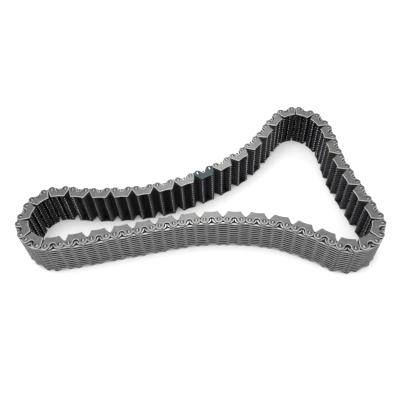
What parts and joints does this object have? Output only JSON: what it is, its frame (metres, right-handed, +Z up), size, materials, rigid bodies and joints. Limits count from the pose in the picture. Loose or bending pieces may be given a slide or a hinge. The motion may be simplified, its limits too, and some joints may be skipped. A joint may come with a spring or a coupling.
{
  "type": "silent drive chain",
  "caption": "Endless inverted-tooth drive chain for a transfer case, steel plates on rocker pins with outer guide plates, lying slack on its side.",
  "frame": {"origin": "on the surface that the chain lies on, under the middle of the loop's box", "axes": "+Z up, along the chain's width and its pins; +X along the longer side of the loop; +Y away from the viewer"},
  "size_m": [0.3112, 0.1694, 0.0381],
  "materials": {
    "guide_steel": "satin worn",
    "tooth_steel": "dark oiled",
    "pin_steel": "ground, riveted ends",
    "marker_steel": "dark blue-grey oxide"
  },
  "bodies": {
    "link_01": {"marked_guide_plate_top": "marker_steel", "marked_guide_plate_bottom": "guide_steel", "marked_guide_row_plates_upper": "tooth_steel", "marked_guide_row_plates_lower": "tooth_steel", "marked_pin_leading": "pin_steel", "marked_pin_trailing": "pin_steel", "marked_inner_plate_pair_1": "tooth_steel", "marked_inner_plate_pair_2": "tooth_steel", "marked_inner_plate_pair_3": "tooth_steel", "marked_inner_plate_pair_4": "tooth_steel", "marked_inner_plate_pair_5": "tooth_steel", "marked_inner_plate_pair_6": "tooth_steel", "marked_rocker_leading": "pin_steel", "marked_rocker_trailing": "pin_steel"},
    "link_02": {"link_02": "guide_steel"},
    "link_03": {"link_03": "guide_steel"},
    "link_04": {"link_04": "guide_steel"},
    "link_05": {"link_05": "guide_steel"},
    "link_06": {"link_06": "guide_steel"},
    "link_07": {"link_07": "guide_steel"},
    "link_08": {"link_08": "guide_steel"},
    "link_09": {"link_09": "guide_steel"},
    "link_10": {"link_10": "guide_steel"},
    "link_11": {"link_11": "guide_steel"},
    "link_12": {"link_12": "guide_steel"},
    "link_13": {"link_13": "guide_steel"},
    "link_14": {"link_14": "guide_steel"},
    "link_15": {"link_15": "guide_steel"},
    "link_16": {"link_16": "guide_steel"},
    "link_17": {"link_17": "guide_steel"},
    "link_18": {"link_18": "guide_steel"},
    "link_19": {"link_19": "guide_steel"},
    "link_20": {"link_20": "guide_steel"},
    "link_21": {"link_21": "guide_steel"},
    "link_22": {"link_22": "guide_steel"},
    "link_23": {"link_23": "guide_steel"},
    "link_24": {"link_24": "guide_steel"},
    "link_25": {"link_25": "guide_steel"},
    "link_26": {"link_26": "guide_steel"},
    "link_27": {"link_27": "guide_steel"},
    "link_28": {"link_28": "guide_steel"},
    "link_29": {"link_29": "guide_steel"},
    "link_30": {"link_30": "guide_steel"},
    "link_31": {"link_31": "guide_steel"},
    "link_32": {"link_32": "guide_steel"},
    "link_33": {"link_33": "guide_steel"},
    "link_34": {"link_34": "guide_steel"},
    "link_35": {"link_35": "guide_steel"},
    "link_36": {"link_36": "guide_steel"},
    "link_37": {"link_37": "guide_steel"},
    "link_38": {"link_38": "guide_steel"},
    "link_39": {"link_39": "guide_steel"},
    "link_40": {"link_40": "guide_steel"},
    "link_41": {"link_41": "guide_steel"},
    "link_42": {"link_42": "guide_steel"}
  },
  "joints": [
    {"name": "pivot_01", "type": "hinge", "parent": "link_01", "child": "link_42", "pos_m": [0.00383, 0.00658, 0.01905], "axis": [0, 0, 1], "range_deg": [-5.8, 31.2]},
    {"name": "pivot_02", "type": "hinge", "parent": "link_02", "child": "link_01", "pos_m": [0.02099, 0.01484, 0.01905], "axis": [0, 0, 1], "range_deg": [-6.4, 30.6]},
    {"name": "pivot_03", "type": "hinge", "parent": "link_03", "child": "link_02", "pos_m": [0.03729, 0.02469, 0.01905], "axis": [0, 0, 1], "range_deg": [-5.9, 31.1]},
    {"name": "pivot_04", "type": "hinge", "parent": "link_04", "child": "link_03", "pos_m": [0.05226, 0.03644, 0.01905], "axis": [0, 0, 1], "range_deg": [-3.9, 33.1]},
    {"name": "pivot_05", "type": "hinge", "parent": "link_05", "child": "link_04", "pos_m": [0.06519, 0.05042, 0.01905], "axis": [0, 0, 1], "range_deg": [-3.8, 33.2]},
    {"name": "pivot_06", "type": "hinge", "parent": "link_06", "child": "link_05", "pos_m": [0.07644, 0.06579, 0.01905], "axis": [0, 0, 1], "range_deg": [-13.4, 23.6]},
    {"name": "pivot_07", "type": "hinge", "parent": "link_07", "child": "link_06", "pos_m": [0.09024, 0.07877, 0.01905], "axis": [0, 0, 1], "range_deg": [-32, 5]},
    {"name": "pivot_08", "type": "hinge", "parent": "link_08", "child": "link_07", "pos_m": [0.10894, 0.08009, 0.01905], "axis": [0, 0, 1], "range_deg": [-32.3, 4.7]},
    {"name": "pivot_09", "type": "hinge", "parent": "link_09", "child": "link_08", "pos_m": [0.12413, 0.06883, 0.01905], "axis": [0, 0, 1], "range_deg": [-25.5, 11.5]},
    {"name": "pivot_10", "type": "hinge", "parent": "link_10", "child": "link_09", "pos_m": [0.1316, 0.05145, 0.01905], "axis": [0, 0, 1], "range_deg": [-18.2, 18.8]},
    {"name": "pivot_11", "type": "hinge", "parent": "link_11", "child": "link_10", "pos_m": [0.13329, 0.03249, 0.01905], "axis": [0, 0, 1], "range_deg": [-8.6, 28.4]},
    {"name": "pivot_12", "type": "hinge", "parent": "link_12", "child": "link_11", "pos_m": [0.13501, 0.01353, 0.01905], "axis": [0, 0, 1], "range_deg": [-4.4, 32.6]},
    {"name": "pivot_13", "type": "hinge", "parent": "link_12", "child": "link_13", "pos_m": [0.13928, -0.00504, 0.01905], "axis": [0, 0, -1], "range_deg": [-7.9, 29.1]},
    {"name": "pivot_14", "type": "hinge", "parent": "link_13", "child": "link_14", "pos_m": [0.14429, -0.02342, 0.01905], "axis": [0, 0, -1], "range_deg": [-10, 27]},
    {"name": "pivot_15", "type": "hinge", "parent": "link_14", "child": "link_15", "pos_m": [0.14943, -0.04176, 0.01905], "axis": [0, 0, -1], "range_deg": [-10.3, 26.7]},
    {"name": "pivot_16", "type": "hinge", "parent": "link_15", "child": "link_16", "pos_m": [0.15186, -0.06045, 0.01905], "axis": [0, 0, -1], "range_deg": [-30.6, 6.4]},
    {"name": "pivot_17", "type": "hinge", "parent": "link_16", "child": "link_17", "pos_m": [0.14172, -0.07622, 0.01905], "axis": [0, 0, -1], "range_deg": [-32.8, 4.2]},
    {"name": "pivot_18", "type": "hinge", "parent": "link_17", "child": "link_18", "pos_m": [0.12351, -0.08113, 0.01905], "axis": [0, 0, -1], "range_deg": [-18.4, 4.6]},
    {"name": "pivot_19", "type": "hinge", "parent": "link_18", "child": "link_19", "pos_m": [0.10632, -0.07349, 0.01905], "axis": [0, 0, -1], "range_deg": [-9.5, 27.5]},
    {"name": "pivot_20", "type": "hinge", "parent": "link_19", "child": "link_20", "pos_m": [0.08996, -0.06378, 0.01905], "axis": [0, 0, -1], "range_deg": [-8.8, 28.2]},
    {"name": "pivot_21", "type": "hinge", "parent": "link_20", "child": "link_21", "pos_m": [0.07286, -0.05538, 0.01905], "axis": [0, 0, -1], "range_deg": [-3.4, 33.6]},
    {"name": "pivot_22", "type": "hinge", "parent": "link_21", "child": "link_22", "pos_m": [0.05461, -0.05, 0.01905], "axis": [0, 0, -1], "range_deg": [-5.8, 31.2]},
    {"name": "pivot_23", "type": "hinge", "parent": "link_22", "child": "link_23", "pos_m": [0.03582, -0.04688, 0.01905], "axis": [0, 0, -1], "range_deg": [-6.8, 30.2]},
    {"name": "pivot_24", "type": "hinge", "parent": "link_23", "child": "link_24", "pos_m": [0.01685, -0.04524, 0.01905], "axis": [0, 0, -1], "range_deg": [-6.9, 30.1]},
    {"name": "pivot_25", "type": "hinge", "parent": "link_24", "child": "link_25", "pos_m": [-0.0022, -0.04509, 0.01905], "axis": [0, 0, -1], "range_deg": [-5.8, 31.2]},
    {"name": "pivot_26", "type": "hinge", "parent": "link_25", "child": "link_26", "pos_m": [-0.02116, -0.04684, 0.01905], "axis": [0, 0, -1], "range_deg": [-7.5, 29.5]},
    {"name": "pivot_27", "type": "hinge", "parent": "link_26", "child": "link_27", "pos_m": [-0.04002, -0.04957, 0.01905], "axis": [0, 0, -1], "range_deg": [-9, 28]},
    {"name": "pivot_28", "type": "hinge", "parent": "link_27", "child": "link_28", "pos_m": [-0.05887, -0.05232, 0.01905], "axis": [0, 0, -1], "range_deg": [-9.3, 27.7]},
    {"name": "pivot_29", "type": "hinge", "parent": "link_28", "child": "link_29", "pos_m": [-0.07773, -0.05497, 0.01905], "axis": [0, 0, -1], "range_deg": [-8.7, 28.3]},
    {"name": "pivot_30", "type": "hinge", "parent": "link_29", "child": "link_30", "pos_m": [-0.09657, -0.0578, 0.01905], "axis": [0, 0, -1], "range_deg": [-9.8, 27.2]},
    {"name": "pivot_31", "type": "hinge", "parent": "link_30", "child": "link_31", "pos_m": [-0.11549, -0.05998, 0.01905], "axis": [0, 0, -1], "range_deg": [-8.4, 28.6]},
    {"name": "pivot_32", "type": "hinge", "parent": "link_31", "child": "link_32", "pos_m": [-0.13432, -0.05919, 0.01905], "axis": [0, 0, -1], "range_deg": [-31.3, 5.7]},
    {"name": "pivot_33", "type": "hinge", "parent": "link_32", "child": "link_33", "pos_m": [-0.1488, -0.04703, 0.01905], "axis": [0, 0, -1], "range_deg": [-32.6, 4.4]},
    {"name": "pivot_34", "type": "hinge", "parent": "link_33", "child": "link_34", "pos_m": [-0.15137, -0.02855, 0.01905], "axis": [0, 0, -1], "range_deg": [-21.4, 15.6]},
    {"name": "pivot_36", "type": "hinge", "parent": "link_36", "child": "link_35", "pos_m": [-0.12732, -0.00213, 0.01905], "axis": [0, 0, 1], "range_deg": [-28.8, 8.2]},
    {"name": "pivot_37", "type": "hinge", "parent": "link_37", "child": "link_36", "pos_m": [-0.10839, -0.00362, 0.01905], "axis": [0, 0, 1], "range_deg": [-10.3, 26.7]},
    {"name": "pivot_38", "type": "hinge", "parent": "link_38", "child": "link_37", "pos_m": [-0.08956, -0.00642, 0.01905], "axis": [0, 0, 1], "range_deg": [-5.1, 31.9]},
    {"name": "pivot_39", "type": "hinge", "parent": "link_39", "child": "link_38", "pos_m": [-0.07053, -0.00717, 0.01905], "axis": [0, 0, 1], "range_deg": [-7.4, 29.6]},
    {"name": "pivot_40", "type": "hinge", "parent": "link_40", "child": "link_39", "pos_m": [-0.05149, -0.00686, 0.01905], "axis": [0, 0, 1], "range_deg": [-5.4, 31.6]},
    {"name": "pivot_41", "type": "hinge", "parent": "link_41", "child": "link_40", "pos_m": [-0.03261, -0.00433, 0.01905], "axis": [0, 0, 1], "range_deg": [-6.1, 30.9]},
    {"name": "pivot_42", "type": "hinge", "parent": "link_42", "child": "link_41", "pos_m": [-0.01412, 0.00021, 0.01905], "axis": [0, 0, 1], "range_deg": [-6.2, 30.8]}
  ],
  "couplings": [
    {"joint": "pivot_01", "follows": "pivot_18", "ratio": -0.16268},
    {"joint": "pivot_02", "follows": "pivot_18", "ratio": -0.20942},
    {"joint": "pivot_03", "follows": "pivot_18", "ratio": -0.41061},
    {"joint": "pivot_04", "follows": "pivot_18", "ratio": -0.63156},
    {"joint": "pivot_05", "follows": "pivot_18", "ratio": -0.4582},
    {"joint": "pivot_06", "follows": "pivot_18", "ratio": 0.67281},
    {"joint": "pivot_07", "follows": "pivot_18", "ratio": 0.76061},
    {"joint": "pivot_08", "follows": "pivot_18", "ratio": 0.63164},
    {"joint": "pivot_09", "follows": "pivot_18", "ratio": 0.77431},
    {"joint": "pivot_10", "follows": "pivot_18", "ratio": 0.16987},
    {"joint": "pivot_11", "follows": "pivot_18", "ratio": -0.87329},
    {"joint": "pivot_12", "follows": "pivot_18", "ratio": -0.75402},
    {"joint": "pivot_13", "follows": "pivot_18", "ratio": -0.58767},
    {"joint": "pivot_14", "follows": "pivot_18", "ratio": -0.44007},
    {"joint": "pivot_15", "follows": "pivot_18", "ratio": -0.16262},
    {"joint": "pivot_16", "follows": "pivot_18", "ratio": 0.98979},
    {"joint": "pivot_17", "follows": "pivot_18", "ratio": 0.61308},
    {"joint": "pivot_19", "follows": "pivot_18", "ratio": 0.46189},
    {"joint": "pivot_20", "follows": "pivot_18", "ratio": -0.1622},
    {"joint": "pivot_21", "follows": "pivot_18", "ratio": -0.32493},
    {"joint": "pivot_22", "follows": "pivot_18", "ratio": -0.26687},
    {"joint": "pivot_23", "follows": "pivot_18", "ratio": -0.19684},
    {"joint": "pivot_24", "follows": "pivot_18", "ratio": -0.23666},
    {"joint": "pivot_25", "follows": "pivot_18", "ratio": -0.31285},
    {"joint": "pivot_26", "follows": "pivot_18", "ratio": -0.16267},
    {"joint": "pivot_27", "follows": "pivot_18", "ratio": 0.16246},
    {"joint": "pivot_28", "follows": "pivot_18", "ratio": 0.1626},
    {"joint": "pivot_29", "follows": "pivot_18", "ratio": -0.64857},
    {"joint": "pivot_30", "follows": "pivot_18", "ratio": -0.79087},
    {"joint": "pivot_31", "follows": "pivot_18", "ratio": -0.37603},
    {"joint": "pivot_32", "follows": "pivot_18", "ratio": 0.82952},
    {"joint": "pivot_33", "follows": "pivot_18", "ratio": 0.27287},
    {"joint": "pivot_34", "follows": "pivot_18", "ratio": 0.73407},
    {"joint": "pivot_36", "follows": "pivot_18", "ratio": 0.69237},
    {"joint": "pivot_37", "follows": "pivot_18", "ratio": -0.66895},
    {"joint": "pivot_38", "follows": "pivot_18", "ratio": -0.59991},
    {"joint": "pivot_39", "follows": "pivot_18", "ratio": 0.16262},
    {"joint": "pivot_40", "follows": "pivot_18", "ratio": -0.16243},
    {"joint": "pivot_41", "follows": "pivot_18", "ratio": -0.16238},
    {"joint": "pivot_42", "follows": "pivot_18", "ratio": -0.16243}
  ]
}
